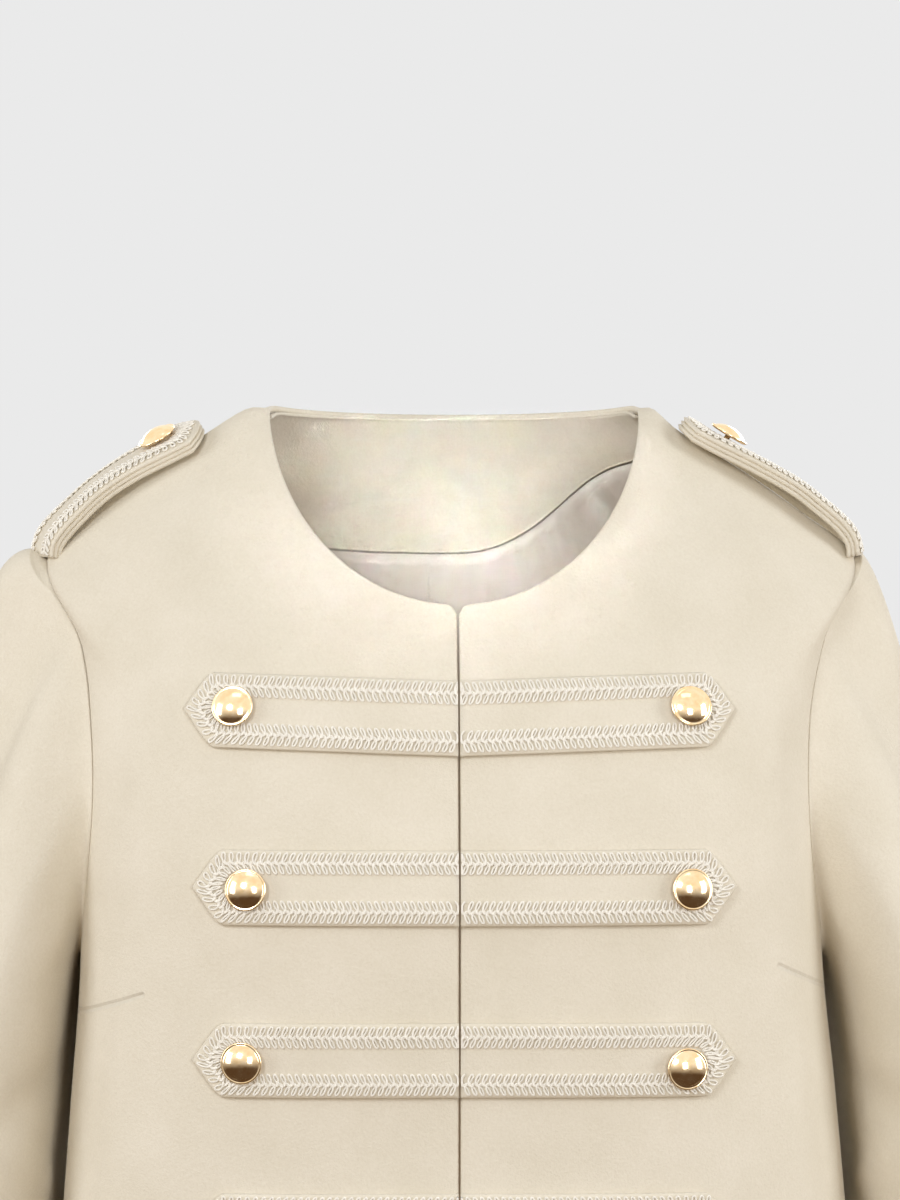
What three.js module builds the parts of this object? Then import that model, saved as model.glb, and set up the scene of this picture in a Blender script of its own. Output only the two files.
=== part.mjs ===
// A short military-style jacket in cream wool, filled out as it is when worn: two fronts that
// meet edge to edge, a back, set-in sleeves, braided chest tabs and shoulder straps.
// Millimetres, +Z up. +X is the wearer's left and -Y the wearer's front. The origin is midway
// between the two side-neck points, on the plane of the shoulder seams.

import * as THREE from "three";

// A table given as column names and rows, as one object a row
function tableOf(columns, rows) {
  return rows.map((row) => Object.fromEntries(columns.map((column, i) => [column, row[i]])));
}

// Cloth and clearances
const CLOTH = 3;
const FACING_CLOTH = 1.5;
const LINING_CLOTH = 1;
const SEAM = 0.3;
const SLEEVE_SEAM = 1.1;
const FRONT_OPENING = 1.6;
const LINING_EASE = 2.4;

// Sections of the body from the neckline down. "at" counts down the centre front. width is the
// half width at the shoulder plane, with the shoulder point standing out beyond it by "point",
// and shift is how far the sides lie towards the wearer's right. front and back are the depths
// either side of the shoulder plane, and each section dips from sideZ to frontZ and backZ.
// roundX and roundY are powers of the cosine and sine: 1 gives an ellipse and less a squarer one.
const BODY = tableOf(
  ["at", "width", "point", "shift", "front", "back", "sideZ", "frontZ", "backZ", "roundX", "roundY"],
  [
    [0, 89, 0, 0, 78, 58, 0, -98, -5, 1, 0.78],
    [10, 95.5, 1.5, 1.6, 82.5, 64, -3.2, -107, -17, 0.96, 0.77],
    [24, 108, 5, 4.4, 88, 72, -14.6, -120, -36, 0.9, 0.75],
    [52, 138, 12, 5, 97.5, 84, -37.5, -144, -72, 0.82, 0.72],
    [71, 153, 19, 4.2, 102, 90, -53.8, -161, -96, 0.775, 0.71],
    [90, 166, 28, 1.4, 106, 95, -74, -178, -122, 0.74, 0.7],
    [110, 172, 11.5, 1.7, 109.5, 98, -95, -195, -147, 0.72, 0.69],
    [135, 175, 3, 3, 112.5, 99, -130, -214, -176, 0.7, 0.68],
    [180, 176, 0, 3, 116, 97, -192, -246, -222, 0.69, 0.67],
    [230, 178, 0, 1.5, 115, 92, -268, -286, -277, 0.69, 0.67],
    [290, 183, 0, 0.5, 112, 87, -328, -336, -331, 0.69, 0.68],
    [360, 189, 0, 0, 110, 86, -402, -404, -402, 0.7, 0.69],
    [450, 196, 0, 0, 112, 93, -492, -492, -492, 0.71, 0.7],
  ],
);
const POINT_POWER = 16;
const HEM_AT = 450;

// Soft folds in the body, placed as seen from the front or back. A trough has a negative rise.
const BODY_FOLDS = [
  { x: -152, z: -120, face: -1, width: 17, length: 42, lean: 0.1, rise: -4 },
  { x: 146, z: -124, face: -1, width: 18, length: 38, lean: -0.1, rise: -2.2 },
  { x: -146, z: -205, face: -1, width: 16, length: 60, lean: 0.05, rise: 2 },
  { x: 148, z: -210, face: -1, width: 16, length: 55, lean: -0.05, rise: 2 },
  { x: -150, z: -150, face: 1, width: 14, length: 60, lean: 0.12, rise: -4 },
  { x: 150, z: -156, face: 1, width: 14, length: 60, lean: -0.12, rise: -4 },
  { x: -62, z: -380, face: 1, width: 20, length: 110, lean: 0.06, rise: 4 },
  { x: 66, z: -392, face: 1, width: 22, length: 100, lean: -0.06, rise: 3.5 },
];

// The armhole, on the body's surface, and how the sleeve head leaves it. Its edge stands up by
// "lift" beside the strap's sewn end, as far as liftReach either side, and "puff" fills it out.
const ARMHOLE = { top: 90, bottom: 230, frontDepth: 53, backDepth: 50 };
const SLEEVE_HEAD = { topLead: 14, underLead: 7, topDrop: 112, underDrop: 30, liftReach: 19 };
const SLEEVE_HEAD_SIDES = { left: { lift: 3.5, puff: 10 }, right: { lift: 8, puff: 34 } };

// Sections of the sleeve below its head, square to the arm. drop counts down from the origin.
const SLEEVE = [
  { drop: 300, x: 222, y: 0, halfX: 35.5, halfY: 65, lean: 0 },
  { drop: 350, x: 230, y: -1, halfX: 38, halfY: 62, lean: 0.02 },
  { drop: 420, x: 237, y: -4, halfX: 39, halfY: 57, lean: 0.06 },
  { drop: 492, x: 245, y: -11, halfX: 40, halfY: 53, lean: 0.14 },
  { drop: 560, x: 249, y: -23, halfX: 39, halfY: 49, lean: 0.2 },
  { drop: 655, x: 252, y: -46, halfX: 37.5, halfY: 44, lean: 0.25 },
];

// Folds across the sleeve. turn is the angle round it, 0 outside and 90 degrees at the front. The
// last one is the long swell where the sleeve hangs against the body's side.
const SLEEVE_FOLDS = [
  { turn: 75, drop: 452, width: 13, spread: 55, slant: 12, rise: 4 },
  { turn: 100, drop: 482, width: 11, spread: 60, slant: -8, rise: -4 },
  { turn: 85, drop: 508, width: 12, spread: 52, slant: 10, rise: 4 },
  { turn: -80, drop: 470, width: 26, spread: 50, slant: 0, rise: 3 },
  { turn: 40, drop: 575, width: 20, spread: 45, slant: 22, rise: 2.5 },
  { turn: 130, drop: 335, width: 14, spread: 40, slant: -20, rise: -3 },
  { turn: -120, drop: 350, width: 16, spread: 45, slant: 18, rise: 3 },
  { turn: -142, drop: 400, width: 115, spread: 20, slant: 0, rise: 20 },
];

// Grid of the panels. Beside the armholes the columns keep to a strip, which reaches "beyond" past
// the armhole's depth, or to this "most" of the section's depth.
const SHOULDER_STEPS = [0, 10, 24, 38, 52, 71];
const ARMHOLE_STEPS = 12;
const SIDE_STEPS = [252, 278, 308, 341, 376, 413, HEM_AT];
const FRONT_COLUMNS = 9;
const BACK_COLUMNS = 16;
const STRIP_COLUMNS = 3;
const STRIP = { beyond: 9, most: 0.7 };
const HEAD_STEPS = [0, 0.05, 0.13, 0.25, 0.4, 0.57, 0.77];
const TUBE_STEPS = [300, 350, 400, 440, 465, 490, 515, 550, 600, 655];

// Back neck facing and lining. The facing's lower edge is drawn up towards the left shoulder.
const FACING = { rows: [0, 0.33, 0.67, 1], ease: 0.9, edge: 52, riseFrom: 4, riseTo: 112, rise: 28 };
const LINING_ROWS = [0, 0.06, 0.14, 0.25, 0.4, 0.55, 0.7, 0.85, 1];
const LINING_END = 436;
const LINING_INSET = 4;
const LINING_COLUMNS = [0, 0.1, 0.2, 0.29, 0.37, 0.45, 0.5135, 0.517, 0.58, 0.66, 0.76, 0.88, 1];
const PLEAT = { edge: 0.5155, rise: 3.5, spread: 0.09, opensBy: 0.25 };

// Chest tabs: half height and length of the point, how far its corners are drawn in, and the rows.
// z is the row's height at centre front, and lift how much higher its point is. Each side has its
// reach from centre front, and how far out and up its button is sewn.
const TAB = { half: 17.4, point: 12, corner: 2.5, cornerPower: 12, thick: 3, seat: 0.4 };
const TAB_ROWS = tableOf(
  ["z", "lift", "leftReach", "leftOut", "leftUp", "rightReach", "rightOut", "rightUp"],
  [
    [-152.4, 4.5, 129.5, 107.5, 0.6, 128, 104.5, 0.8],
    [-230.4, 0.4, 128.5, 106.5, -1.2, 123.5, 98, -1.2],
    [-309.8, -0.4, 128.5, 104.5, -3.9, 123.5, 100, -0.8],
    [-389.2, -0.4, 128.5, 105.5, -2.5, 123.5, 99, -1],
  ],
).map((row) => ({
  z: row.z,
  lift: row.lift,
  reach: { left: row.leftReach, right: row.rightReach },
  button: { left: [row.leftOut, row.leftUp], right: [row.rightOut, row.rightUp] },
}));
const TAB_ALONG = [0, 0.3, 0.52, 0.68, 0.8, 0.91, 1];
const TAB_ACROSS = [1, 0.86, 0.45, 0, -0.45, -0.86, -1];

// Gimp braid: its width, the cloth left bare outside it, and its height at five places across
const BRAID = { width: 10.6, border: 1.1, heights: [0.7, 1.6, 1.1, 1.6, 0.7] };
const BRAID_LEG = [0, 0.3, 0.54, 0.74, 0.9, 1];
const STRAP_BRAID_LEG = [0, 0.05, 0.12, 0.2, 0.32, 0.47, 0.64, 0.82, 1];
const BRAID_POINT = [0.5, 1];

// Shoulder straps, from the armhole seam to a point near the neck
const STRAP = {
  half: 18.5, thick: 6.4, point: 9, pointPower: 1.5, edgeDrop: 1.6, seat: 0.9, braidStart: 1,
};
const STRAP_SIDES = {
  left: { outer: 88.9, inner: 22.5, roll: 5, arch: 4.8, skew: 0.6, button: 0.765 },
  right: { outer: 89.3, inner: 25.5, roll: 17, arch: 3.4, skew: 0.8, button: 0.79 },
};
const STRAP_ALONG = [0, 0.05, 0.1, 0.17, 0.26, 0.38, 0.52, 0.66, 0.8, 0.91, 1];
const STRAP_ACROSS = [-1, -0.84, -0.4, 0, 0.4, 0.84, 1];

// Domed button with a flat rim, on a shank: radius and height of its profile
const BUTTON_PROFILE = [
  [0, 0], [1.4, 0], [1.4, 1.9], [8.6, 2.1], [9.8, 3], [9.5, 3.7], [8.3, 3.9], [5.2, 5.7], [0, 6.6],
];
const BUTTON_SIDES = 14;

const SMALL_TURN = 0.012;
const SMALL_STEP = 1.5;
const HALVINGS = 36;
const TURN_SAMPLES = 160;
const SIDES = { left: 1, right: -1 };
const degrees = THREE.MathUtils.degToRad;
const mix = THREE.MathUtils.lerp;

const jacket = new THREE.Group();

const wool = new THREE.MeshStandardMaterial({ color: 0xeae2cd, roughness: 0.95, metalness: 0 });
const braidCord = new THREE.MeshStandardMaterial({ color: 0xf3eee4, roughness: 0.6, metalness: 0 });
const satin = new THREE.MeshStandardMaterial({ color: 0xe8e0d6, roughness: 0.4, metalness: 0 });
const gold = new THREE.MeshStandardMaterial({ color: 0xdcc48c, roughness: 0.2, metalness: 1 });

// Tables are read between their rows with a smooth curve that never overshoots a row.
function slopeAt(table, key, column, i) {
  const chord = (k) => (table[k + 1][column] - table[k][column]) / (table[k + 1][key] - table[k][key]);
  if (i === 0) return chord(0);
  if (i === table.length - 1) return chord(i - 1);
  const before = chord(i - 1);
  const after = chord(i);
  return before * after <= 0 ? 0 : (2 * before * after) / (before + after);
}

function readRow(table, key, place) {
  let i = 0;
  while (i < table.length - 2 && place > table[i + 1][key]) i += 1;
  const span = table[i + 1][key] - table[i][key];
  const t = (place - table[i][key]) / span;
  const row = {};
  for (const column of Object.keys(table[i])) {
    const start = table[i][column];
    const end = table[i + 1][column];
    const leave = slopeAt(table, key, column, i) * span;
    const arrive = slopeAt(table, key, column, i + 1) * span;
    const rise = end - start;
    if (t < 0) row[column] = start + leave * t;
    else if (t > 1) row[column] = end + arrive * (t - 1);
    else row[column] = start + leave * t + (3 * rise - 2 * leave - arrive) * t ** 2
      + (leave + arrive - 2 * rise) * t ** 3;
  }
  return row;
}

// Distance of a section from centre front, for the cosine of the turn round it
function sectionX(section, across) {
  const share = Math.abs(across);
  const reach = section.width * share ** section.roundX + section.point * share ** POINT_POWER;
  return Math.sign(across) * reach - section.shift * share ** 2;
}

// The body's surface. turn is 0 at the left side, -90 degrees at centre front, 90 at centre back.
function bodyPoint(turn, at) {
  const section = readRow(BODY, "at", at);
  const across = Math.cos(turn);
  const along = Math.sin(turn);
  const isFront = along < 0;
  const depth = isFront ? section.front : section.back;
  const endZ = isFront ? section.frontZ : section.backZ;
  const x = sectionX(section, across);
  const y = Math.sign(along) * depth * Math.abs(along) ** section.roundY;
  const z = mix(section.sideZ, endZ, Math.abs(along));
  const outward = new THREE.Vector3(x / section.width, y / depth, 0).normalize();
  const rise = BODY_FOLDS.filter((fold) => fold.face * y > 0).reduce((sum, fold) => {
    const down = fold.z - z;
    const aside = x - fold.x - fold.lean * down;
    return sum + fold.rise * Math.exp(-((aside / fold.width) ** 2) - (down / fold.length) ** 2);
  }, 0);
  return new THREE.Vector3(x, y, z).addScaledVector(outward, rise);
}

function surfaceNormal(surface, u, v, du, dv) {
  const alongU = surface(u + du, v).sub(surface(u - du, v));
  const alongV = surface(u, v + dv).sub(surface(u, v - dv));
  return alongV.cross(alongU).normalize();
}

const bodyNormal = (turn, at) => surfaceNormal(bodyPoint, turn, at, SMALL_TURN, SMALL_STEP);

const liftedBody = (turn, at, lift) => bodyPoint(turn, at).addScaledVector(bodyNormal(turn, at), lift);

// Turn at which a section is this far in front of the shoulder plane (negative) or behind it
function turnAtDepth(y, at) {
  const section = readRow(BODY, "at", at);
  const share = Math.abs(y) / (y < 0 ? section.front : section.back);
  return Math.sign(y) * Math.asin(share ** (1 / section.roundY));
}

// Turn on the front at which a section is this far from centre front
function turnAtWidth(x, at) {
  const section = readRow(BODY, "at", at);
  let inside = 0;
  let outside = Math.sign(x);
  for (let i = 0; i < HALVINGS; i += 1) {
    const middle = (inside + outside) / 2;
    if (Math.abs(sectionX(section, middle)) < Math.abs(x)) inside = middle;
    else outside = middle;
  }
  return -Math.acos(outside);
}

// Place on the front that is seen at x, z from straight ahead
function frontPlace(x, z) {
  let above = 0;
  let below = HEM_AT;
  for (let i = 0; i < HALVINGS; i += 1) {
    const middle = (above + below) / 2;
    if (bodyPoint(turnAtWidth(x, middle), middle).z > z) above = middle;
    else below = middle;
  }
  return [turnAtWidth(x, above), above];
}

// Turns between two ends that are evenly spaced, or at the given shares, along the section
function spreadTurns(from, to, at, shares) {
  const samples = TURN_SAMPLES;
  const turns = Array.from({ length: samples + 1 }, (_, i) => mix(from, to, i / samples));
  const points = turns.map((turn) => bodyPoint(turn, at));
  const lengths = [0];
  for (let i = 1; i <= samples; i += 1) lengths.push(lengths[i - 1] + points[i].distanceTo(points[i - 1]));
  return shares.map((share) => {
    const target = share * lengths[samples];
    let i = 0;
    while (i < samples - 1 && lengths[i + 1] < target) i += 1;
    return mix(turns[i], turns[i + 1], (target - lengths[i]) / (lengths[i + 1] - lengths[i]));
  });
}

const evenShares = (count) => Array.from({ length: count + 1 }, (_, i) => i / count);

// A closed wall between two grids of points, rows first. Seen from outside, rows run down and
// columns to the right. A round wall joins its last column to its first.
function wall(outer, inner, isRound = false) {
  const rows = outer.length;
  const columns = outer[0].length;
  const positions = [...outer.flat(), ...inner.flat()].flatMap((p) => [p.x, p.y, p.z]);
  const offset = rows * columns;
  const faces = [];
  const lastColumn = isRound ? columns : columns - 1;
  for (let i = 0; i < rows - 1; i += 1) {
    for (let j = 0; j < lastColumn; j += 1) {
      const next = (j + 1) % columns;
      const a = i * columns + j;
      const b = (i + 1) * columns + j;
      const c = (i + 1) * columns + next;
      const d = i * columns + next;
      faces.push([a, b, c], [a, c, d]);
    }
  }
  const edges = new Set(faces.flatMap(([a, b, c]) => [`${a} ${b}`, `${b} ${c}`, `${c} ${a}`]));
  const pairs = [...edges].map((edge) => edge.split(" ").map(Number));
  const rim = pairs.filter(([a, b]) => !edges.has(`${b} ${a}`));
  const index = faces.flat();
  for (const [a, b, c] of faces) index.push(c + offset, b + offset, a + offset);
  for (const [a, b] of rim) index.push(b, a, a + offset, b, a + offset, b + offset);
  const geometry = new THREE.BufferGeometry();
  geometry.setAttribute("position", new THREE.Float32BufferAttribute(positions, 3));
  geometry.setIndex(index);
  geometry.computeVertexNormals();
  return geometry;
}

function addPiece(name, geometry, material) {
  const mesh = new THREE.Mesh(geometry, material);
  mesh.name = name;
  jacket.add(mesh);
  return mesh;
}

// A wall whose outer points stand "lift" above the body's surface
function bodyWall(places, lift, thickness) {
  const outer = places.map((row) => row.map(([turn, at]) => liftedBody(turn, at, lift)));
  const inner = places.map((row) => row.map(([turn, at]) => liftedBody(turn, at, lift - thickness)));
  return wall(outer, inner);
}

// Depth of the armhole's edge from the shoulder plane, 0 above and below the armhole
function armholeDepth(at, depth) {
  const share = THREE.MathUtils.clamp((at - ARMHOLE.top) / (ARMHOLE.bottom - ARMHOLE.top), 0, 1);
  return 2 * depth * Math.sqrt(share * (1 - share));
}

const armholeAt = (angle) => mix(ARMHOLE.top, ARMHOLE.bottom, (1 - Math.cos(angle)) / 2);

const armholeSteps = evenShares(ARMHOLE_STEPS).map((share) => armholeAt(share * Math.PI));
const bodySteps = [...SHOULDER_STEPS, ...armholeSteps, ...SIDE_STEPS];

// Turn at which the even columns of a panel end and the strip beside its armhole begins
function stripTurn(at, face) {
  const section = readRow(BODY, "at", at);
  const reach = face < 0 ? ARMHOLE.frontDepth : ARMHOLE.backDepth;
  const depth = face < 0 ? section.front : section.back;
  return turnAtDepth(face * Math.min(reach + STRIP.beyond, STRIP.most * depth), at);
}

// Turns across a panel from stop to stop, with so many columns between each two
function panelTurns(stops, counts, at) {
  return counts.flatMap((count, i) => {
    const turns = spreadTurns(stops[i], stops[i + 1], at, evenShares(count));
    return i === 0 ? turns : turns.slice(1);
  });
}

function addFront(side) {
  const places = bodySteps.map((at) => {
    const outerTurn = turnAtDepth(-armholeDepth(at, ARMHOLE.frontDepth) - SEAM / 2, at);
    const stops = [turnAtWidth(FRONT_OPENING / 2, at), stripTurn(at, -1), outerTurn];
    const turns = side === "left"
      ? panelTurns(stops, [FRONT_COLUMNS, STRIP_COLUMNS], at)
      : panelTurns(stops.map((turn) => -Math.PI - turn).reverse(), [STRIP_COLUMNS, FRONT_COLUMNS], at);
    return turns.map((turn) => [turn, at]);
  });
  addPiece(`front_${side}`, bodyWall(places, 0, CLOTH), wool);
}

// Turns across the back from side to side, kept "inset" clear of the armholes and side seams
function backTurns(at, shares, inset) {
  const edge = turnAtDepth(armholeDepth(at, ARMHOLE.backDepth) + inset, at);
  return spreadTurns(edge, Math.PI - edge, at, shares);
}

function backColumns(at, inset) {
  const edge = turnAtDepth(armholeDepth(at, ARMHOLE.backDepth) + inset, at);
  const strip = stripTurn(at, 1);
  const stops = [edge, strip, Math.PI - strip, Math.PI - edge];
  return panelTurns(stops, [STRIP_COLUMNS, BACK_COLUMNS, STRIP_COLUMNS], at);
}

function addBack() {
  const places = bodySteps.map((at) => backColumns(at, SEAM / 2).map((turn) => [turn, at]));
  addPiece("back", bodyWall(places, 0, CLOTH), wool);
}

// How far down the facing reaches at this turn
function facingEdge(turn) {
  const x = bodyPoint(turn, FACING.edge).x;
  return FACING.edge - FACING.rise * THREE.MathUtils.smoothstep(x, FACING.riseFrom, FACING.riseTo);
}

function addFacing() {
  const places = FACING.rows.map((share) => (
    backColumns(share * FACING.edge, SEAM).map((turn) => [turn, share * facingEdge(turn)])
  ));
  addPiece("back_neck_facing", bodyWall(places, -CLOTH - FACING.ease, FACING_CLOTH), wool);
}

// The lining hangs from the facing's edge. At the pleat one side laps over the other, and the
// lap opens downwards.
function addLining() {
  const grid = LINING_ROWS.map((down) => LINING_COLUMNS.map((share) => {
    const nearTurn = backTurns(mix(FACING.edge, LINING_END, down), [share], LINING_INSET)[0];
    const at = mix(facingEdge(nearTurn) + SEAM, LINING_END, down);
    const turn = backTurns(at, [share], LINING_INSET)[0];
    const beyond = PLEAT.edge - share;
    const lap = beyond > 0 ? PLEAT.rise * Math.exp(-((beyond / PLEAT.spread) ** 2)) : 0;
    const lift = -CLOTH - LINING_EASE - lap * Math.min(1, down / PLEAT.opensBy);
    return [turn, at, lift];
  }));
  const outer = grid.map((row) => row.map(([turn, at, lift]) => liftedBody(turn, at, lift)));
  const inner = grid.map((row) => row.map(([turn, at, lift]) => liftedBody(turn, at, lift - LINING_CLOTH)));
  addPiece("lining_back", wall(outer, inner), satin);
}

// The armhole seam. angle is 0 at the shoulder tip and 90 degrees at the front.
function armholePlace(side, angle) {
  const at = armholeAt(angle);
  const depth = Math.sin(angle) > 0 ? ARMHOLE.frontDepth : ARMHOLE.backDepth;
  const turn = turnAtDepth(-depth * Math.sin(angle), at);
  return [side === "left" ? turn : Math.PI - turn, at];
}

const armholePoint = (side, angle) => bodyPoint(...armholePlace(side, angle));

// The sleeve's tube, at a turn round it and a drop below the origin
function tubePoint(side, angle, drop) {
  const section = readRow(SLEEVE, "drop", drop);
  const forward = section.halfY * Math.sin(angle);
  const x = section.x + section.halfX * Math.cos(angle);
  const rise = SLEEVE_FOLDS.reduce((sum, fold) => {
    const ahead = angle - degrees(fold.turn) + Math.PI;
    const round = THREE.MathUtils.euclideanModulo(ahead, 2 * Math.PI) - Math.PI;
    const aside = drop - fold.drop - fold.slant * round;
    const reach = round / degrees(fold.spread);
    return sum + fold.rise * Math.exp(-((aside / fold.width) ** 2) - reach ** 2);
  }, 0);
  return new THREE.Vector3(
    SIDES[side] * (x + rise * Math.cos(angle)),
    section.y - forward - rise * Math.sin(angle),
    -drop + section.lean * forward,
  );
}

// The sleeve's surface. along runs from 0 at the armhole to 1 at the first section of the tube,
// and counts on from there in shares of the tube's length.
const TUBE_TOP = SLEEVE[0].drop;
const TUBE_LENGTH = SLEEVE[SLEEVE.length - 1].drop - TUBE_TOP;

function sleevePoint(side, angle, along) {
  if (along >= 1) return tubePoint(side, angle, TUBE_TOP + (along - 1) * TUBE_LENGTH);
  const normal = bodyNormal(...armholePlace(side, angle));
  const run = armholePoint(side, angle + SMALL_TURN).sub(armholePoint(side, angle - SMALL_TURN));
  const away = normal.clone().cross(run).normalize().multiplyScalar(SIDES[side]);
  const topness = (1 + Math.cos(angle)) / 2;
  const seam = armholePoint(side, angle);
  const { lift, puff } = SLEEVE_HEAD_SIDES[side];
  const nearTop = Math.exp(-((seam.y / SLEEVE_HEAD.liftReach) ** 4));
  const start = seam.addScaledVector(away, SLEEVE_SEAM)
    .addScaledVector(normal, Math.cos(angle) > 0 ? lift * nearTop : 0);
  const lead = start.clone()
    .addScaledVector(away, mix(SLEEVE_HEAD.underLead, SLEEVE_HEAD.topLead, topness ** 2))
    .addScaledVector(normal, puff * topness ** 4);
  const end = tubePoint(side, angle, TUBE_TOP);
  const endRun = tubePoint(side, angle, TUBE_TOP + SMALL_STEP).sub(end).normalize();
  const headDrop = mix(SLEEVE_HEAD.underDrop, SLEEVE_HEAD.topDrop, topness);
  const arrive = end.clone().addScaledVector(endRun, -headDrop);
  return new THREE.CubicBezierCurve3(start, lead, arrive, end).getPoint(along);
}

function sleeveNormal(side, angle, along) {
  if (along === 0) return bodyNormal(...armholePlace(side, angle));
  const surface = (turn, run) => sleevePoint(side, -SIDES[side] * turn, run);
  return surfaceNormal(surface, -SIDES[side] * angle, along, SMALL_TURN, SMALL_TURN);
}

function addSleeve(side) {
  const steps = [...HEAD_STEPS, ...TUBE_STEPS.map((drop) => 1 + (drop - TUBE_TOP) / TUBE_LENGTH)];
  const count = 2 * ARMHOLE_STEPS;
  const angles = Array.from({ length: count }, (_, j) => (-SIDES[side] * j * 2 * Math.PI) / count);
  const gridAt = (depth) => steps.map((along) => angles.map((angle) => (
    sleevePoint(side, angle, along).addScaledVector(sleeveNormal(side, angle, along), -depth)
  )));
  addPiece(`sleeve_${side}`, wall(gridAt(0), gridAt(CLOTH), true), wool);
}

// Chest tabs. A place on a tab is how far it is from centre front and how far above its middle.
function tabPlace(row, side, out, up) {
  const z = row.z + (row.lift * out) / row.reach[side] + up;
  return frontPlace(SIDES[side] * out, z);
}

// A grid made for the left side, turned to face out when its points lie on the right side
function facingOut(side, grid) {
  return side === "left" ? grid : grid.map((row) => [...row].reverse());
}

function addTab(row, side, number) {
  const start = FRONT_OPENING / 2;
  const places = TAB_ACROSS.map((across) => {
    const corner = TAB.corner * Math.abs(across) ** TAB.cornerPower;
    const end = row.reach[side] - TAB.point * Math.abs(across) - corner;
    return TAB_ALONG.map((along) => tabPlace(row, side, mix(start, end, along), TAB.half * across));
  });
  addPiece(`tab_${side}_${number}`, bodyWall(facingOut(side, places), TAB.seat + TAB.thick, TAB.thick), wool);
}

// A pointed outline set in from a strip's edge: out along one side, round the point and back
function pointedOutline(strip, start, reach, inset, legShares) {
  const half = strip.half - inset;
  const slope = Math.atan2(strip.half, strip.point);
  const tip = reach - inset / Math.sin(slope);
  const corner = tip - (strip.point * half) / strip.half;
  const leg = legShares.map((share) => [mix(start, corner, share), half]);
  const point = BRAID_POINT.map((share) => [mix(corner, tip, share), half * (1 - share)]);
  const there = [...leg, ...point];
  const back = there.slice(0, -1).reverse().map(([out, up]) => [out, -up]);
  return [...there, ...back];
}

// Insets of the braid's five lines, from its inner edge to its outer one
const braidInsets = BRAID.heights.map((_, i) => {
  const share = 1 - i / (BRAID.heights.length - 1);
  return BRAID.border + BRAID.width * share;
});

// Turns lines that run along the braid into rows across it
function braidGrid(side, lines) {
  return facingOut(side, lines[0].map((_, i) => lines.map((line) => line[i])));
}

function addTabBraid(row, side, number) {
  const start = FRONT_OPENING / 2;
  const base = TAB.seat + TAB.thick + SEAM;
  const lineAt = (inset, lift) => pointedOutline(TAB, start, row.reach[side], inset, BRAID_LEG)
    .map(([out, up]) => liftedBody(...tabPlace(row, side, out, up), lift));
  const outer = braidInsets.map((inset, i) => lineAt(inset, base + BRAID.heights[i]));
  const inner = braidInsets.map((inset) => lineAt(inset, base));
  addPiece(`braid_${side}_${number}`, wall(braidGrid(side, outer), braidGrid(side, inner)), braidCord);
}

function addButton(name, point, normal) {
  const profile = BUTTON_PROFILE.map(([radius, height]) => new THREE.Vector2(radius, height));
  const button = addPiece(name, new THREE.LatheGeometry(profile, BUTTON_SIDES), gold);
  button.position.copy(point);
  button.quaternion.setFromUnitVectors(new THREE.Vector3(0, 1, 0), normal);
}

function addTabButton(row, side, number) {
  const [out, up] = row.button[side];
  const place = tabPlace(row, side, out, up);
  const lift = TAB.seat + TAB.thick + SEAM;
  addButton(`button_${side}_${number}`, liftedBody(...place, lift), bodyNormal(...place));
}

// The shoulder seam, with a right one turned over to the left
function shoulderPoint(side, at) {
  const point = bodyPoint(side === "left" ? 0 : Math.PI, at);
  point.x *= SIDES[side];
  return point;
}

// The strap's middle line follows the shoulder seam, arching off it over the outer half.
function strapPoint(side, along, across, lift) {
  const { outer, inner, roll, arch, skew } = STRAP_SIDES[side];
  const at = mix(outer, inner, along);
  const run = shoulderPoint(side, at - SMALL_STEP).sub(shoulderPoint(side, at + SMALL_STEP)).normalize();
  const level = new THREE.Vector3(0, 1, 0);
  const up = level.clone().cross(run).normalize();
  const tilt = degrees(roll);
  const cross = level.clone().multiplyScalar(Math.cos(tilt)).addScaledVector(up, Math.sin(tilt));
  const normal = cross.clone().cross(run).normalize();
  const clear = STRAP.seat + arch * Math.sin(Math.PI * along ** skew) ** 2;
  const point = shoulderPoint(side, at)
    .addScaledVector(cross, across * STRAP.half)
    .addScaledVector(normal, clear + lift - STRAP.edgeDrop * across ** 2);
  point.x *= SIDES[side];
  normal.x *= SIDES[side];
  return { point, normal };
}

function strapLength(side) {
  const { outer, inner } = STRAP_SIDES[side];
  return shoulderPoint(side, outer).distanceTo(shoulderPoint(side, inner));
}

function addStrap(side) {
  const length = strapLength(side);
  const gridAt = (lift) => STRAP_ACROSS.map((across) => {
    const end = 1 - (STRAP.point * Math.abs(across) ** STRAP.pointPower) / length;
    return STRAP_ALONG.map((along) => strapPoint(side, along * end, across, lift).point);
  });
  addPiece(`epaulette_${side}`, wall(facingOut(side, gridAt(STRAP.thick)), facingOut(side, gridAt(0))), wool);
}

function addStrapBraid(side) {
  const length = strapLength(side);
  const base = STRAP.thick + SEAM;
  const lineAt = (inset, lift) => pointedOutline(STRAP, STRAP.braidStart, length, inset, STRAP_BRAID_LEG)
    .map(([out, over]) => strapPoint(side, out / length, -over / STRAP.half, base + lift).point);
  const outer = braidInsets.map((inset, i) => lineAt(inset, BRAID.heights[i]));
  const inner = braidInsets.map((inset) => lineAt(inset, 0));
  addPiece(`epaulette_braid_${side}`, wall(braidGrid(side, outer), braidGrid(side, inner)), braidCord);
}

function addStrapButton(side) {
  const { point, normal } = strapPoint(side, STRAP_SIDES[side].button, 0, STRAP.thick + SEAM);
  addButton(`epaulette_button_${side}`, point, normal);
}

addBack();
addFacing();
addLining();
for (const side of Object.keys(SIDES)) {
  addFront(side);
  addSleeve(side);
  addStrap(side);
  addStrapBraid(side);
  addStrapButton(side);
  TAB_ROWS.forEach((row, i) => {
    addTab(row, side, i + 1);
    addTabBraid(row, side, i + 1);
    addTabButton(row, side, i + 1);
  });
}

export default jacket;
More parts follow.
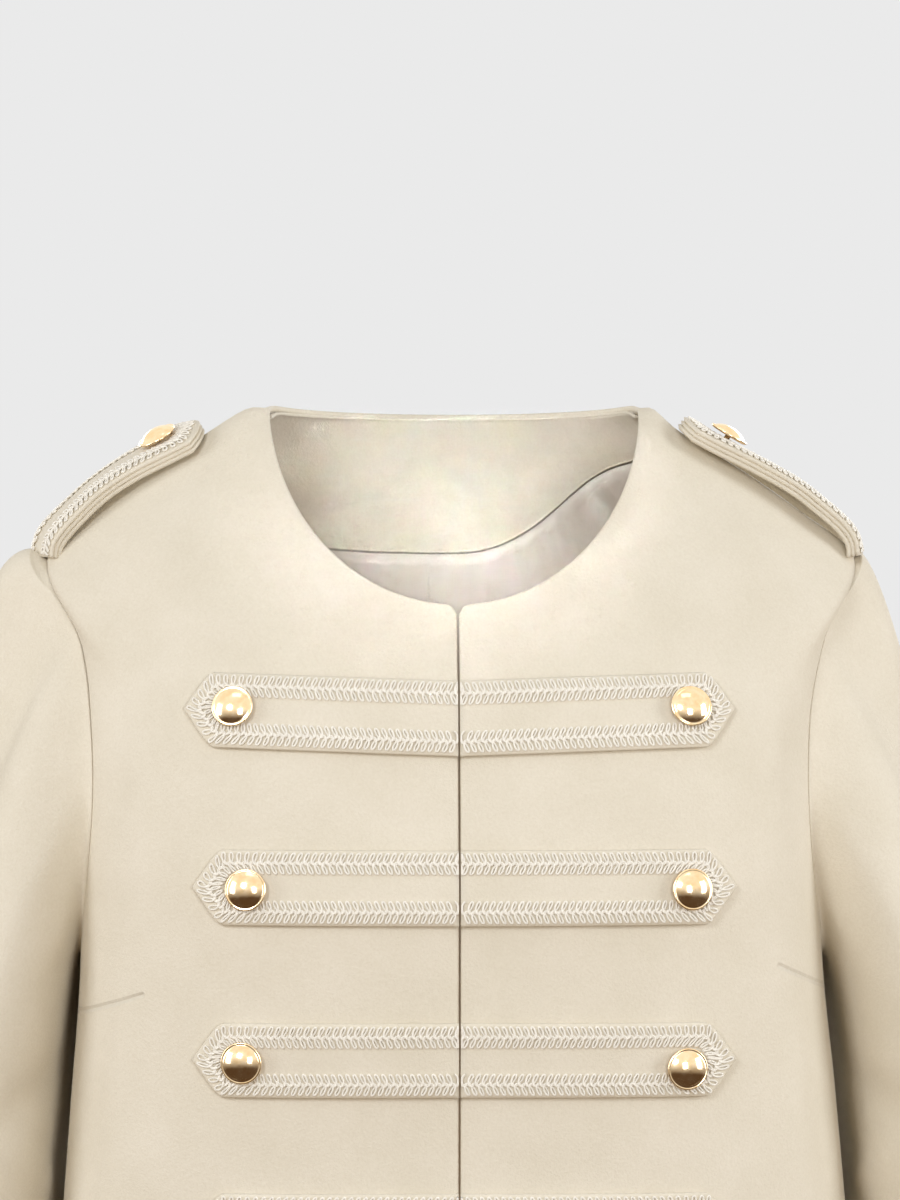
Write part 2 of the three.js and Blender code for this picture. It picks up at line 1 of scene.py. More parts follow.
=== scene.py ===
# Looks of the cream wool jacket: felted cloth with soft folds, gimp braid made of looped cord,
# satin lining and polished buttons. The surfaces are worked out from the same sizes as the
# solids, in millimetres, and put down in metres.
import math

import bmesh
import bpy
import numpy as np
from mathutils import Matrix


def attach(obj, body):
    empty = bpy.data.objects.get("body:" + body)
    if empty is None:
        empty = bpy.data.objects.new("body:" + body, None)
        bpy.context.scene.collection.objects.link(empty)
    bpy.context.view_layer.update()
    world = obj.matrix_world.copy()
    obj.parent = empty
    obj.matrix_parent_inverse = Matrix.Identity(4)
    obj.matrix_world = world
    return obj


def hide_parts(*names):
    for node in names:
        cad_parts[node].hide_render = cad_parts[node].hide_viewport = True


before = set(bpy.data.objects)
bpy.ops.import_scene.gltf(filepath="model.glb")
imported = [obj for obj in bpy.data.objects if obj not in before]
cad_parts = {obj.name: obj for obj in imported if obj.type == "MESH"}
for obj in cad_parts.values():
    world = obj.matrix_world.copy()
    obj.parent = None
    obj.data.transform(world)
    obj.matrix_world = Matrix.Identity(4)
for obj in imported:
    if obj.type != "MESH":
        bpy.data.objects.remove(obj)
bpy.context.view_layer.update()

MM = 0.001
JOIN_WITHIN = 2e-6
SIDES = {"left": 1, "right": -1}

# Cloth, and the gaps between its pieces
CLOTH = 3.0
SEAM = 0.16
SLEEVE_SEAM = 0.2
FRONT_OPENING = 0.9
FACING_CLOTH = 1.5
FACING_GAP = 0.2
LINING_CLOTH = 0.8
LINING_EASE = 2.4

# Sections of the body from the neckline down, as in the solids. point is a narrow corner at the
# side that reaches out to the armhole, and roundX and roundY are the powers of the outline.
BODY_COLUMNS = [
    "at", "width", "point", "shift", "front", "back", "sideZ", "frontZ", "backZ", "roundX", "roundY",
]
BODY_ROWS = [
    [0, 89, 0, 0, 78, 58, 0, -98, -5, 1, 0.78],
    [10, 95.5, 1.5, 1.6, 82.5, 64, -3.2, -107, -17, 0.96, 0.77],
    [24, 108, 5, 4.4, 88, 72, -14.6, -120, -36, 0.9, 0.75],
    [52, 138, 12, 5, 97.5, 84, -37.5, -144, -72, 0.82, 0.72],
    [71, 153, 19, 4.2, 102, 90, -53.8, -161, -96, 0.775, 0.71],
    [90, 166, 28, 1.4, 106, 95, -74, -178, -122, 0.74, 0.7],
    [110, 172, 11.5, 1.7, 109.5, 98, -95, -195, -147, 0.72, 0.69],
    [135, 175, 3, 3, 112.5, 99, -130, -214, -176, 0.7, 0.68],
    [180, 176, 0, 3, 116, 97, -192, -246, -222, 0.69, 0.67],
    [230, 178, 0, 1.5, 115, 92, -268, -286, -277, 0.69, 0.67],
    [290, 183, 0, 0.5, 112, 87, -328, -336, -331, 0.69, 0.68],
    [360, 189, 0, 0, 110, 86, -402, -404, -402, 0.7, 0.69],
    [450, 196, 0, 0, 112, 93, -492, -492, -492, 0.71, 0.7],
]
POINT_POWER = 16

# The side of the neck edge is worn soft, and the top corners of the fronts are rounded
NECK_SOFT = 3.4
NECK_SOFT_TURN = 0.16
NECK_SOFT_AT = 7.0
CORNER_RADIUS = 6.0

HEM_AT = 450.0

# Folds: place seen from the front (face -1) or back (face 1), half width, half length, lean, rise.
# The first eight are in the solids too. The rest are the small uneven ones of worn wool.
BODY_FOLDS = [
    (-152, -120, -1, 17, 42, 0.1, -4),
    (146, -124, -1, 18, 38, -0.1, -2.2),
    (-146, -205, -1, 16, 60, 0.05, 2),
    (148, -210, -1, 16, 55, -0.05, 2),
    (-150, -150, 1, 14, 60, 0.12, -4),
    (150, -156, 1, 14, 60, -0.12, -4),
    (-62, -380, 1, 20, 110, 0.06, 4),
    (66, -392, 1, 22, 100, -0.06, 3.5),
    (-139, -150, -1, 6, 40, 0.16, 1.6),
    (-160, -168, -1, 7, 45, 0.05, -1.8),
    (136, -152, -1, 6, 38, -0.16, 1.5),
    (158, -176, -1, 7, 44, -0.05, -1.6),
    (-120, -262, -1, 14, 26, 0.5, -1.2),
    (118, -268, -1, 13, 24, -0.5, -1.1),
    (-158, -332, -1, 8, 60, -0.08, 1.9),
    (160, -340, -1, 8, 58, 0.08, 1.8),
    (-28, -192, -1, 15, 18, 0, -0.8),
    (32, -268, -1, 16, 17, 0, -0.7),
    (-40, -348, -1, 18, 18, 0, -0.9),
    (44, -120, -1, 16, 20, 0.2, -0.7),
    (-48, -426, -1, 20, 30, 0.1, 1.3),
    (60, -432, -1, 22, 34, -0.1, 1.5),
    (-128, -108, 1, 9, 46, -0.35, 2.2),
    (131, -113, 1, 10, 42, 0.35, 2.1),
    (-96, -190, 1, 12, 70, 0.2, -1.6),
    (104, -206, 1, 13, 64, -0.22, -1.8),
    (-20, -330, 1, 12, 90, 0.03, -1.9),
    (26, -350, 1, 14, 84, -0.02, -1.7),
    (-118, -398, 1, 12, 74, 0.05, 2.4),
    (122, -404, 1, 13, 76, -0.07, 2.2),
    (0, -236, 1, 70, 13, 0, -1.3),
    (14, -262, 1, 64, 11, 0, 1.2),
]

# Armholes, and how the sleeve's head leads away from them to the straight sleeve
ARMHOLE_TOP = 90.0
ARMHOLE_BOTTOM = 230.0
ARMHOLE_FRONT = 53.0
ARMHOLE_BACK = 50.0
TOP_LEAD = 14.0
UNDER_LEAD = 7.0
TOP_DROP = 112.0
UNDER_DROP = 30.0
LIFT_REACH = 19.0
HEAD_LIFT = {"left": 3.5, "right": 8.0}
HEAD_PUFF = {"left": 10.0, "right": 34.0}

# Sections of the straight sleeve by their drop below the neckline
SLEEVE_COLUMNS = ["drop", "x", "y", "halfX", "halfY", "lean"]
SLEEVE_ROWS = [
    [300, 222, 0, 35.5, 65, 0],
    [350, 230, -1, 38, 62, 0.02],
    [420, 237, -4, 39, 57, 0.06],
    [492, 245, -11, 40, 53, 0.14],
    [560, 249, -23, 39, 49, 0.2],
    [655, 252, -46, 37.5, 44, 0.25],
]
TUBE_TOP = 300.0
TUBE_LENGTH = 355.0

# Folds across the sleeve: turn in degrees, drop, width, spread in degrees, slant, rise.
# The first eight are in the solids too.
SLEEVE_FOLDS = [
    (75, 452, 13, 55, 12, 4),
    (100, 482, 11, 60, -8, -4),
    (85, 508, 12, 52, 10, 4),
    (-80, 470, 26, 50, 0, 3),
    (40, 575, 20, 45, 22, 2.5),
    (130, 335, 14, 40, -20, -3),
    (-120, 350, 16, 45, 18, 3),
    (-142, 400, 115, 20, 0, 20),
    (-142, 292, 42, 20, 0, 9),
    (60, 425, 8, 40, 16, -1.8),
    (118, 468, 7, 34, -14, 1.8),
    (70, 533, 9, 48, 12, -2.2),
    (150, 440, 10, 36, 12, 1.6),
    (-150, 500, 10, 40, -12, 1.6),
    (-60, 520, 12, 40, 14, -1.5),
    (20, 612, 12, 60, 16, -1.6),
    (100, 604, 11, 46, -10, 1.8),
    (-100, 590, 14, 44, 8, 1.4),
    (160, 372, 8, 34, 18, 1.8),
    (55, 378, 12, 38, -16, -1.4),
]

# Small soft folds of the sleeve head: angle in degrees, along, half widths of both, rise.
# They fade in after the armhole seam and out before the straight sleeve.
HEAD_FOLDS = [
    (38, 0.3, 9, 0.22, -1.7),
    (58, 0.36, 8, 0.24, 1.5),
    (80, 0.45, 10, 0.26, -1.6),
    (106, 0.42, 10, 0.2, 1.7),
    (128, 0.5, 9, 0.2, -1.5),
    (-34, 0.3, 9, 0.22, -1.6),
    (-60, 0.4, 9, 0.24, 1.6),
    (-88, 0.46, 11, 0.24, -1.6),
    (-118, 0.5, 10, 0.22, 1.6),
    (14, 0.5, 8, 0.3, 1.0),
    (-12, 0.62, 9, 0.28, -1.2),
]
HEAD_FOLDS_IN = (0.02, 0.2)
HEAD_FOLDS_OUT = (-1.0, -0.75)

# Back neck facing, whose lower edge rises towards the left shoulder, and the lining below it
FACING_EDGE = 52.0
FACING_RISE = 28.0
FACING_RISE_FROM = 4.0
FACING_RISE_TO = 112.0
LINING_END = 436.0
LINING_INSET = 4.0
FACING_COLUMNS = 80
FACING_SHARES = np.concatenate([[0, 0.01, 0.022], np.linspace(0.04, 0.96, 18), [0.978, 0.99, 1]])
FACING_BED = 0.7
FACING_RIPPLES = [(0.25, 19, 0.6), (0.175, 41, 1.3)]

# The lining's centre pleat: a fold laid over to one side, places across as shares
PLEAT_EDGE = 0.5155
PLEAT_RISE = 4.5
PLEAT_SPREAD = 0.09
PLEAT_OPENS_BY = 0.09
LINING_DOWN = np.concatenate([np.linspace(0, 0.3, 26), np.linspace(0.3, 1, 44)[1:]])
LINING_ACROSS = np.concatenate([
    np.linspace(0, 0.5135, 110), [0.5146, 0.5164, 0.5175], np.linspace(0.52, 1, 104),
])

# Lengthwise gathers of the lining: place across as a share, half width, rise
LINING_FOLDS = [
    (0.05, 0.014, 2.2), (0.1, 0.010, 1.6), (0.155, 0.015, 2.6), (0.21, 0.011, 1.8),
    (0.262, 0.014, 2.6), (0.312, 0.010, 1.7), (0.352, 0.013, 2.5), (0.40, 0.010, 1.6),
    (0.452, 0.013, 1.8), (0.56, 0.012, 1.8), (0.602, 0.010, 1.5), (0.648, 0.015, 2.7),
    (0.70, 0.011, 1.8), (0.745, 0.014, 2.5), (0.80, 0.012, 2.0), (0.85, 0.014, 2.4),
    (0.905, 0.012, 1.9), (0.955, 0.014, 2.2),
]
GATHER_SWAY = 0.012
GATHER_SWAYS = 9
GATHER_PHASE = 20
GATHERS_FROM = -0.01
GATHERS_FULL = 0.03

# Chest tabs: height at centre front, lift of the point, then reach and button place for each side
TAB_HALF = 17.4
TAB_POINT = 12.0
TAB_CORNER = 2.5
TAB_CORNER_POWER = 12
TAB_THICK = 3.0
TAB_SEAT = 0.4
TAB_COLUMNS = 34
TAB_TABLE_ALONG = 61
TAB_TABLE_ACROSS = 13
TABS = [
    {"z": -152.4, "lift": 4.5, "left": (129.5, 107.5, 0.6), "right": (128, 104.5, 0.8)},
    {"z": -230.4, "lift": 0.4, "left": (128.5, 106.5, -1.2), "right": (123.5, 98, -1.2)},
    {"z": -309.8, "lift": -0.4, "left": (128.5, 104.5, -3.9), "right": (123.5, 100, -0.8)},
    {"z": -389.2, "lift": -0.4, "left": (128.5, 105.5, -2.5), "right": (123.5, 99, -1)},
]

# Shoulder straps
STRAP_HALF = 18.5
STRAP_THICK = 6.4
STRAP_POINT = 9.0
STRAP_POINT_POWER = 2.1
STRAP_EDGE_DROP = 1.6
STRAP_SEAT = 0.9
STRAP_BRAID_START = -2.4
STRAP_TUCK = 3.6
STRAP_END_DROP = 2.6
STRAP_END_REACH = 7.0
STRAP_LAYERS = 3
STRAP_LAYER_GAP = 0.05
STRAP_COLUMNS = 30
STRAP_BACK_POWER = 1.4
STRAPS = {
    "left": {"outer": 88.9, "inner": 22.5, "roll": 5, "arch": 4.8, "skew": 0.6, "button": 0.765},
    "right": {"outer": 89.3, "inner": 25.5, "roll": 17, "arch": 3.4, "skew": 0.8, "button": 0.79},
}

# Gimp braid: its width, the bare border outside it, and its height over the cloth
BRAID_WIDTH = 10.6
BRAID_BORDER = 1.1
BRAID_MIDDLE = BRAID_BORDER + BRAID_WIDTH / 2
BRAID_MITRE_FROM = 0.78
BRAID_BASE = 0.05
TAB_BRAID_LIFT = -0.04
STRAP_BRAID_LIFT = 0.1

# Its two rows of loops in one cord each, and the straight cord under them
CORD_RADIUS = 0.49
LOOP_PITCH = 3.3
LOOP_POINTS = 16
LOOP_SWING = 1.55
LOOP_INNER = -0.7
LOOP_OUTER = 4.85
LOOP_SKEW = 0.42
LOOP_CROSSING = 0.34
LOOP_ROOT_RISE = 0.2
LOOP_ROWS = ((1, 0.0), (-1, 0.5))
CORD_SIDES = 6
CORE_RADIUS = 0.42
CORE_LIFT = 0.5
CORE_POINTS = 260

# Radius and height of the button's outline, from the shank's foot to the middle of the dome
BUTTON_PROFILE = [
    (0.02, 0), (1.4, 0), (1.4, 1.9), (8.4, 2.05), (9.3, 2.35), (9.75, 2.75), (9.8, 3.05), (9.7, 3.4),
    (9.4, 3.62), (9.1, 3.62), (8.8, 3.5), (8.5, 3.55), (7.9, 4.05), (7.0, 4.68), (5.8, 5.35),
    (4.4, 5.92), (3.0, 6.3), (1.5, 6.53), (0.02, 6.6),
]
BUTTON_TURNS = 48

# Steps for slopes, and how finely places are searched
SMALL_TURN = 0.012
SMALL_STEP = 1.5
SMALL_RUN = 0.012
HALVINGS = 30
TURN_SAMPLES = 140

# Edges of a cloth wall roll inwards by this much over this far, and have these close steps
EDGE_ROLL = 0.95
EDGE_REACH = 1.7
EDGE_STEPS = np.array([0, 0.55, 1.1])
TIP_STEPS = np.array([EDGE_REACH, 1.1, 0.5, 0])
TIP_GAP = 0.3
TIP_FROM = 0.9
TIP_SHARES = [0.93, 0.955, 0.972]
LARGEST_ROLL = 0.45

# Columns of points across a cloth, and rows for each stretch of the body and the sleeve
FRONT_COLUMNS = 52
BACK_COLUMNS = 92
STRIP_ROWS = 15
SHOULDER_ROWS = 27
ARMHOLE_ROWS = 45
SIDE_ROWS = 58
HEAD_ROWS = 34
TUBE_ROWS = 62
SLEEVE_TURNS = 97
BELOW_LAST = 1.001

# The sleeve's run is 0 at the armhole, 1 at the head's end and 2 at the cuff
CUFF = 2.0
CUFF_STEPS = np.array([1.4, 0.9, 0.45, 0]) / TUBE_LENGTH
TUBE_PART = 0.996
HEAD_STEPS = [0, 0.004, 0.008, 0.014]
HEAD_FROM = 0.03
HEAD_LENGTH = 150.0
HEAD_INNER = 0.02

# At the armhole the sleeve's edge turns down to this depth, with these shares as rows
SEAM_DEPTH = 2.2
TURNED_SHARES = (0, 0.35, 0.7)

# Bust darts: two ends in x and z, and half the groove's width
DARTS = [((-180, -292), (-148, -281), 1.5), ((176, -280), (151, -268), 1.5)]

# Colours from dark to light
WOOL_COLOURS = ((0.79, 0.722, 0.585), (0.84, 0.772, 0.64))
NAP_COLOURS = ((0.945, 0.935, 0.915), (1.0, 1.0, 1.0))
CORD_COLOURS = ((0.89, 0.84, 0.74), (0.94, 0.895, 0.80))
SATIN_COLOURS = ((0.77, 0.70, 0.60), (0.85, 0.79, 0.70))
GOLD_COLOURS = ((0.90, 0.66, 0.38), (0.96, 0.77, 0.52))


def table_reader(columns, rows):
    """Reads a table between its rows with a smooth curve that never overshoots a row."""
    table = np.array(rows, float)
    keys = table[:, 0]
    chord = np.diff(table, axis=0) / np.diff(keys)[:, None]
    product = chord[:-1] * chord[1:]
    total = chord[:-1] + chord[1:]
    middle = np.where(product <= 0, 0, 2 * product / np.where(total == 0, 1, total))
    slopes = np.vstack([chord[:1], middle, chord[-1:]])

    def read(place):
        place = np.asarray(place, float)
        i = np.searchsorted(keys[1:-1], place, side="left")
        span = (keys[i + 1] - keys[i])[..., None]
        t = (place - keys[i])[..., None] / span
        start, end = table[i], table[i + 1]
        leave, arrive = slopes[i] * span, slopes[i + 1] * span
        rise = end - start
        inside = start + leave * t + (3 * rise - 2 * leave - arrive) * t**2
        inside = inside + (leave + arrive - 2 * rise) * t**3
        value = np.where(t < 0, start + leave * t, np.where(t > 1, end + arrive * (t - 1), inside))
        return {column: value[..., k] for k, column in enumerate(columns)}

    return read


read_body = table_reader(BODY_COLUMNS, BODY_ROWS)
read_sleeve = table_reader(SLEEVE_COLUMNS, SLEEVE_ROWS)


def mix(a, b, t):
    return a + (b - a) * t


def smooth_step(value, low, high):
    t = np.clip((value - low) / (high - low), 0, 1)
    return t * t * (3 - 2 * t)


def unit(v):
    return v / np.linalg.norm(v, axis=-1, keepdims=True)


def section_x(section, across):
    """Distance aside of a section's outline where its cosine is across."""
    share = np.abs(across)
    reach = section["width"] * share ** section["roundX"] + section["point"] * share**POINT_POWER
    return np.sign(across) * reach - section["shift"] * share**2


def body_point(turn, at):
    """The body's surface. turn is 0 at the left side, -90 degrees at centre front, 90 behind."""
    turn, at = np.broadcast_arrays(np.asarray(turn, float), np.asarray(at, float))
    section = read_body(at)
    across, along = np.cos(turn), np.sin(turn)
    ahead = along < 0
    depth = np.where(ahead, section["front"], section["back"])
    end_z = np.where(ahead, section["frontZ"], section["backZ"])
    x = section_x(section, across)
    y = np.sign(along) * depth * np.abs(along) ** section["roundY"]
    z = mix(section["sideZ"], end_z, np.abs(along))
    z = z - NECK_SOFT * np.exp(-((along / NECK_SOFT_TURN) ** 2) - (at / NECK_SOFT_AT) ** 2)
    out_x, out_y = x / section["width"], y / depth
    size = np.hypot(out_x, out_y)
    rise = np.zeros_like(x)
    for fold_x, fold_z, face, width, length, lean, height in BODY_FOLDS:
        down = fold_z - z
        aside = x - fold_x - lean * down
        bump = height * np.exp(-((aside / width) ** 2) - (down / length) ** 2)
        rise = rise + np.where(face * y > 0, bump, 0)
    return np.stack([x + rise * out_x / size, y + rise * out_y / size, z], -1)


def surface_normal(surface, u, v, du, dv):
    along_u = surface(u + du, v) - surface(u - du, v)
    along_v = surface(u, v + dv) - surface(u, v - dv)
    return unit(np.cross(along_v, along_u))


def body_normal(turn, at):
    return surface_normal(body_point, turn, at, SMALL_TURN, SMALL_STEP)


def lifted_body(turn, at, lift):
    lift = np.asarray(lift, float)
    return body_point(turn, at) + body_normal(turn, at) * lift[..., None]


def turn_at_depth(y, at):
    """Turn at which a section is this far in front of the shoulder plane, or behind it."""
    section = read_body(at)
    share = np.abs(y) / np.where(y < 0, section["front"], section["back"])
    return np.sign(y) * np.arcsin(np.minimum(share, 1) ** (1 / section["roundY"]))


def turn_at_width(x, at):
    """Turn on the front at which a section is this far aside, found by halving."""
    x, at = np.broadcast_arrays(np.asarray(x, float), np.asarray(at, float))
    section = read_body(at)
    inside = np.zeros_like(x)
    outside = np.where(x < 0, -1.0, 1.0)
    for _ in range(HALVINGS):
        middle = (inside + outside) / 2
        short = np.abs(section_x(section, middle)) < np.abs(x)
        inside = np.where(short, middle, inside)
        outside = np.where(short, outside, middle)
    return -np.arccos(outside)


def front_place(x, z):
    """Turn and at of the place on the front that is seen at x, z from straight ahead."""
    above = np.zeros_like(x)
    below = np.full_like(x, HEM_AT)
    for _ in range(HALVINGS):
        middle = (above + below) / 2
        high = body_point(turn_at_width(x, middle), middle)[..., 2] > z
        above = np.where(high, middle, above)
        below = np.where(high, below, middle)
    return turn_at_width(x, above), above


def edge_steps(length, count):
    """Distances along a cloth edge to edge: even, with close steps for the rolled edges."""
    even = np.linspace(EDGE_REACH, length - EDGE_REACH, count)
    return np.concatenate([EDGE_STEPS, even, length - EDGE_STEPS[::-1]])


def section_lengths(start, end, at):
    """Turns from start to end in each row, and the lengths along the section up to each."""
    turns = mix(start[:, None], end[:, None], np.linspace(0, 1, TURN_SAMPLES + 1))
    points = body_point(turns, at[:, None])
    steps = np.linalg.norm(np.diff(points, axis=1), axis=-1)
    return turns, np.concatenate([np.zeros((len(at), 1)), np.cumsum(steps, axis=1)], axis=1)


def spread_turns(start, end, at, count):
    """Rows of turns from start to end, evenly spaced along each section, and edge distances."""
    turns, lengths = section_lengths(start, end, at)
    rows, distances = [], []
    for i in range(len(at)):
        total = lengths[i, -1]
        targets = edge_steps(total, count)
        rows.append(np.interp(targets, lengths[i], turns[i]))
        distances.append(np.minimum(targets, total - targets))
    return np.array(rows), np.array(distances)


def rolled(distance):
    """How far the cloth's face sinks at this distance from its edge."""
    return EDGE_ROLL * np.clip(1 - distance / EDGE_REACH, 0, 1) ** 2


def make_mesh(name, points, wrap=False):
    """A mesh from rows of points in millimetres. From outside, rows run down, columns right.

    With wrap, the first and last columns are one and the same, and their points are joined.
    """
    rows, columns = points.shape[:2]
    work = bmesh.new()
    bmesh.ops.create_grid(work, x_segments=columns - 1, y_segments=rows - 1, size=1)
    mesh = bpy.data.meshes.new(name)
    work.to_mesh(mesh)
    work.free()
    flat = np.empty(len(mesh.vertices) * 3)
    mesh.vertices.foreach_get("co", flat)
    flat = flat.reshape(-1, 3)
    column = np.rint((flat[:, 0] + 1) / 2 * (columns - 1)).astype(int)
    row = np.rint((1 - flat[:, 1]) / 2 * (rows - 1)).astype(int)
    mesh.vertices.foreach_set("co", (points[row, column] * MM).ravel())
    if wrap:
        work = bmesh.new()
        work.from_mesh(mesh)
        bmesh.ops.remove_doubles(work, verts=work.verts, dist=JOIN_WITHIN)
        work.to_mesh(mesh)
        work.free()
    mesh.polygons.foreach_set("use_smooth", [True] * len(mesh.polygons))
    mesh.update()
    return mesh


def add_piece(name, mesh, materials, node_name):
    """Puts a mesh in the scene in the place of one of the part's solids."""
    piece = bpy.data.objects.new(name, mesh)
    bpy.context.scene.collection.objects.link(piece)
    for material in materials:
        mesh.materials.append(material)
    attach(piece, "root")
    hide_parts(node_name)
    return piece


def thicken(piece, thickness, inner=0):
    """Gives a sheet its thickness, inwards, with another material on the inside if told to."""
    wall = piece.modifiers.new("wall", "SOLIDIFY")
    wall.thickness = thickness * MM
    wall.offset = -1
    wall.use_rim = True
    wall.material_offset = inner
    wall.material_offset_rim = 0


# Materials
def new_material(name):
    material = bpy.data.materials.new(name)
    material.use_nodes = True
    tree = material.node_tree
    shader = tree.nodes["Principled BSDF"]
    return material, tree, shader


def node(tree, kind, **values):
    made = tree.nodes.new(kind)
    for key, value in values.items():
        setattr(made, key, value)
    return made


def link(tree, source, target):
    tree.links.new(source, target)


def noise(tree, vector, scale, detail=2.0, roughness=0.5):
    made = node(tree, "ShaderNodeTexNoise")
    link(tree, vector, made.inputs["Vector"])
    made.inputs["Scale"].default_value = scale
    made.inputs["Detail"].default_value = detail
    made.inputs["Roughness"].default_value = roughness
    return made.outputs["Fac"]


def colour_between(tree, factor, low, high, dark, light):
    ramp = node(tree, "ShaderNodeValToRGB")
    ramp.color_ramp.elements[0].position = low
    ramp.color_ramp.elements[1].position = high
    ramp.color_ramp.elements[0].color = (*dark, 1)
    ramp.color_ramp.elements[1].color = (*light, 1)
    link(tree, factor, ramp.inputs["Fac"])
    return ramp.outputs["Color"]


def maths(tree, operation, first, second=None, clamp=False):
    made = node(tree, "ShaderNodeMath", operation=operation, use_clamp=clamp)
    for socket, value in zip(made.inputs, (first, second)):
        if value is None:
            continue
        if isinstance(value, (int, float)):
            socket.default_value = value
        else:
            link(tree, value, socket)
    return made.outputs[0]


def bump(tree, height, distance, strength=1.0, below=None):
    made = node(tree, "ShaderNodeBump")
    made.inputs["Distance"].default_value = distance
    made.inputs["Strength"].default_value = strength
    link(tree, height, made.inputs["Height"])
    if below is not None:
        link(tree, below, made.inputs["Normal"])
    return made.outputs["Normal"]


def segment_groove(tree, vector, start, end, half):
    """1 on a line in x and z seen on the front, falling to 0 at half its width, in metres."""
    flat = node(tree, "ShaderNodeVectorMath", operation="MULTIPLY")
    link(tree, vector, flat.inputs[0])
    flat.inputs[1].default_value = (1, 0, 1)
    first = np.array([start[0], 0, start[1]]) * MM
    along = np.array([end[0], 0, end[1]]) * MM - first
    apart = node(tree, "ShaderNodeVectorMath", operation="SUBTRACT")
    link(tree, flat.outputs[0], apart.inputs[0])
    apart.inputs[1].default_value = tuple(first)
    dot = node(tree, "ShaderNodeVectorMath", operation="DOT_PRODUCT")
    link(tree, apart.outputs[0], dot.inputs[0])
    dot.inputs[1].default_value = tuple(along / np.dot(along, along))
    share = maths(tree, "ADD", dot.outputs["Value"], 0, clamp=True)
    reach = node(tree, "ShaderNodeVectorMath", operation="SCALE")
    reach.inputs[0].default_value = tuple(along)
    link(tree, share, reach.inputs["Scale"])
    rest = node(tree, "ShaderNodeVectorMath", operation="SUBTRACT")
    link(tree, apart.outputs[0], rest.inputs[0])
    link(tree, reach.outputs[0], rest.inputs[1])
    length = node(tree, "ShaderNodeVectorMath", operation="LENGTH")
    link(tree, rest.outputs[0], length.inputs[0])
    near = maths(tree, "MULTIPLY", length.outputs["Value"], -1 / (half * MM))
    return maths(tree, "ADD", near, 1, clamp=True)


def wool_material(name, grooves=()):
    """Felted wool: a soft cloud of tone, nap and fibres, with pressed lines where told to."""
    material, tree, shader = new_material(name)
    place = node(tree, "ShaderNodeTexCoord").outputs["Object"]
    cloud = noise(tree, place, 26, 3)
    nap = noise(tree, place, 760, 4, 0.6)
    fibre = noise(tree, place, 1500, 3, 0.7)
    base = colour_between(tree, cloud, 0.3, 0.7, *WOOL_COLOURS)
    fleck = colour_between(tree, nap, 0.3, 0.68, *NAP_COLOURS)
    blend = node(tree, "ShaderNodeMix", data_type="RGBA", blend_type="MULTIPLY")
    blend.inputs["Factor"].default_value = 1
    link(tree, base, blend.inputs["A"])
    link(tree, fleck, blend.inputs["B"])
    link(tree, blend.outputs["Result"], shader.inputs["Base Color"])
    shader.inputs["Roughness"].default_value = 0.92
    shader.inputs["Specular IOR Level"].default_value = 0.22
    shader.inputs["Sheen Weight"].default_value = 0.18
    shader.inputs["Sheen Roughness"].default_value = 0.45
    soft = bump(tree, cloud, 0.0016, 0.5)
    felt = bump(tree, nap, 0.0004, 0.75, soft)
    normal = bump(tree, fibre, 0.00022, 0.7, felt)
    for start, end, half in grooves:
        line = maths(tree, "MULTIPLY", segment_groove(tree, place, start, end, half), -1)
        normal = bump(tree, line, 0.0009, 0.9, normal)
    link(tree, normal, shader.inputs["Normal"])
    return material


def cord_material():
    material, tree, shader = new_material("gimp_cord")
    place = node(tree, "ShaderNodeTexCoord").outputs["Object"]
    tone = noise(tree, place, 300, 2)
    ply = noise(tree, place, 2600, 2)
    colour = colour_between(tree, tone, 0.3, 0.7, *CORD_COLOURS)
    link(tree, colour, shader.inputs["Base Color"])
    shader.inputs["Roughness"].default_value = 0.6
    shader.inputs["Sheen Weight"].default_value = 0.1
    link(tree, bump(tree, ply, 0.00015, 0.6), shader.inputs["Normal"])
    return material


def satin_material():
    material, tree, shader = new_material("satin")
    place = node(tree, "ShaderNodeTexCoord").outputs["Object"]
    stretch = node(tree, "ShaderNodeMapping")
    stretch.inputs["Scale"].default_value = (1, 1, 0.25)
    link(tree, place, stretch.inputs["Vector"])
    tone = noise(tree, stretch.outputs[0], 30, 2)
    weave = noise(tree, place, 2400, 2)
    colour = colour_between(tree, tone, 0.3, 0.7, *SATIN_COLOURS)
    link(tree, colour, shader.inputs["Base Color"])
    shader.inputs["Roughness"].default_value = 0.38
    shader.inputs["Sheen Weight"].default_value = 0.15
    ripple = bump(tree, tone, 0.004, 0.5)
    link(tree, bump(tree, weave, 0.00006, 0.5, ripple), shader.inputs["Normal"])
    return material


def gold_material():
    material, tree, shader = new_material("gold")
    place = node(tree, "ShaderNodeTexCoord").outputs["Object"]
    wear = noise(tree, place, 260, 3)
    colour = colour_between(tree, wear, 0.35, 0.65, *GOLD_COLOURS)
    link(tree, colour, shader.inputs["Base Color"])
    shader.inputs["Metallic"].default_value = 1.0
    rough = maths(tree, "MULTIPLY", wear, 0.22)
    link(tree, maths(tree, "ADD", rough, 0.04), shader.inputs["Roughness"])
    link(tree, bump(tree, wear, 0.0002, 0.25), shader.inputs["Normal"])
    return material


wool = wool_material("wool")
wool_front = wool_material("wool_front", DARTS)
cord = cord_material()
satin = satin_material()
gold = gold_material()


# Panels of the body
def armhole_at(angle):
    return mix(ARMHOLE_TOP, ARMHOLE_BOTTOM, (1 - np.cos(angle)) / 2)


def armhole_depth(at, depth):
    share = np.clip((at - ARMHOLE_TOP) / (ARMHOLE_BOTTOM - ARMHOLE_TOP), 0, 1)
    return 2 * depth * np.sqrt(share * (1 - share))


